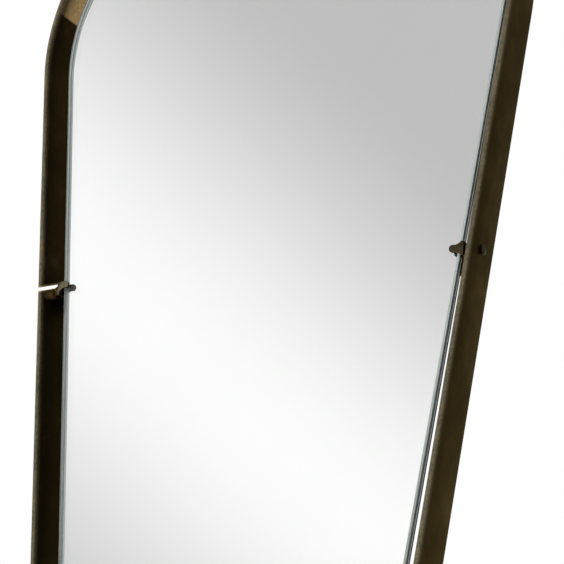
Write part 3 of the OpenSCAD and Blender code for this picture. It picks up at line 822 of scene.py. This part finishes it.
# Bushes and shoulder screws of the tilt pivots
low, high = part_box("pivot_bushes")
bush_r = (high.z - low.z) / 2
tilt_middle = Vector((0, HOOP_MIDDLE, 0))
clip_side_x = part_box("right_clip")[1].x
turned("tilt_bushes", ["pivot_bushes"], [(tilt_middle, side) for side in BOTH_SIDES],
       tube(TILT_R + FIT, bush_r, clip_side_x, high.x), hollow=True)

low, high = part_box("pivot_screws")
screw_end = clip_side_x - CLIP_T
screw_seat = high.x - SCREW_HEAD[1]
turned("tilt_screws", ["pivot_screws"], [(tilt_middle, side) for side in BOTH_SIDES],
       [(0, screw_end), (TILT_R, screw_end), (TILT_R, screw_seat)] + dome(*SCREW_HEAD, screw_seat),
       material=DARK_BRASS)


# ---------------------------------------------------------------- floor, light and camera

FLOOR_REACH = 3.0            # metres each way
FLOOR_DROP = 0.16            # from the bottom of the hoop
LAMP_PLACE = Vector((-0.6, 0.6, 0.9))
BAND_AXIS = (0.5984, -0.1774, 0.7813)   # the room's bright band lies square to this direction
BAND_OFFSET = radians(0.4)
BAND_HALF_W = radians(14)


def studio():
    """A pale floor well below the mirror, and soft light from a room.

    A broad bright band crosses the room, and it is dimmer on the wall's side.
    """
    floor_mesh = bpy.data.meshes.new("studio_floor")
    floor_z = HOOP_LOW.z - FLOOR_DROP
    floor_mesh.from_pydata(
        [(x * FLOOR_REACH, y * FLOOR_REACH, floor_z) for x, y in ((-1, -1), (1, -1), (1, 1), (-1, 1))],
        [], [(0, 1, 2, 3)],
    )
    floor = in_scene("studio_floor", floor_mesh)
    material, tree, place = new_material("studio_floor_paint")
    mottle = add_node(tree, "ShaderNodeTexNoise", {"Vector": place, "Scale": 6.0, "Detail": 2.0})
    colour = add_node(tree, "ShaderNodeValToRGB", {"Fac": mottle}, stops=[
        (0.3, "#f3f2f0"), (0.7, "#f8f7f5"),
    ])
    surface(tree, {"Base Color": colour, "Roughness": 0.8})
    floor_mesh.materials.append(material)

    # A soft lamp above and behind, out of the mirror's sight, lights the floor and the back
    lamp_data = bpy.data.lights.new("back_lamp", "AREA")
    lamp_data.energy = 5
    lamp_data.size = 1.0
    lamp = in_scene("back_lamp", lamp_data)
    aim = LAMP_PLACE.to_track_quat("Z", "Y").to_matrix().to_4x4()
    lamp.matrix_world = Matrix.Translation(LAMP_PLACE) @ aim

    world = bpy.data.worlds.new("soft_room")
    bpy.context.scene.world = world
    world.use_nodes = True
    tree = world.node_tree
    tree.nodes.clear()
    toward = add_node(tree, "ShaderNodeTexCoord").outputs["Generated"]
    height = add_node(tree, "ShaderNodeVectorMath", {0: toward, 1: BAND_AXIS},
                      operation="DOT_PRODUCT").outputs["Value"]
    angle = add_node(tree, "ShaderNodeMath", {0: height}, operation="ARCSINE")
    shifted = add_node(tree, "ShaderNodeMath", {0: angle, 1: BAND_OFFSET}, operation="SUBTRACT")
    away = add_node(tree, "ShaderNodeMath", {0: shifted}, operation="ABSOLUTE")
    glow = add_node(tree, "ShaderNodeMapRange", {
        "Value": away, "From Max": BAND_HALF_W, "To Min": 1.0, "To Max": 0.528,
    }, interpolation_type="SMOOTHSTEP")
    depth = add_node(tree, "ShaderNodeSeparateXYZ", {"Vector": toward}).outputs["Y"]
    wall_side = add_node(tree, "ShaderNodeMapRange", {
        "Value": depth, "From Min": 0.1, "From Max": 0.7, "To Min": 1.0, "To Max": 0.55,
    }, interpolation_type="SMOOTHSTEP")
    dimmed = add_node(tree, "ShaderNodeMath", {0: glow, 1: wall_side}, operation="MULTIPLY")

    # The background behind the mirror is plain white, whatever the room's light is
    seen = add_node(tree, "ShaderNodeLightPath").outputs["Is Camera Ray"]
    level = add_node(tree, "ShaderNodeMix", {0: seen, 2: dimmed, 3: 1.0}, data_type="FLOAT")
    room = add_node(tree, "ShaderNodeBackground", {"Color": (1, 1, 1, 1), "Strength": level})
    add_node(tree, "ShaderNodeOutputWorld", {"Surface": room})
    bpy.context.scene.view_settings.view_transform = "Standard"


def add_camera():
    """Looks up at the mirror from low on its right, with a short telephoto lens held slightly askew."""
    azimuth, elevation, roll = radians(30.324), radians(-17.711), radians(4.628)
    distance = 0.4926
    target = Vector((0.019736, HOOP_FRONT, -0.00824))
    back = Vector((sin(azimuth) * cos(elevation), -cos(azimuth) * cos(elevation), sin(elevation)))
    level = (-back).cross(Z_AXIS).normalized()
    upright = level.cross(-back)
    right = level * cos(roll) + upright * sin(roll)
    up = upright * cos(roll) - level * sin(roll)
    data = bpy.data.cameras.new("camera")
    data.sensor_width = 36
    data.lens = 89.7
    data.clip_start = 0.01
    camera = in_scene("camera", data)
    turn = Matrix((right, up, back)).transposed().to_4x4()
    camera.matrix_world = Matrix.Translation(target + back * distance) @ turn
    bpy.context.scene.camera = camera


studio()
add_camera()
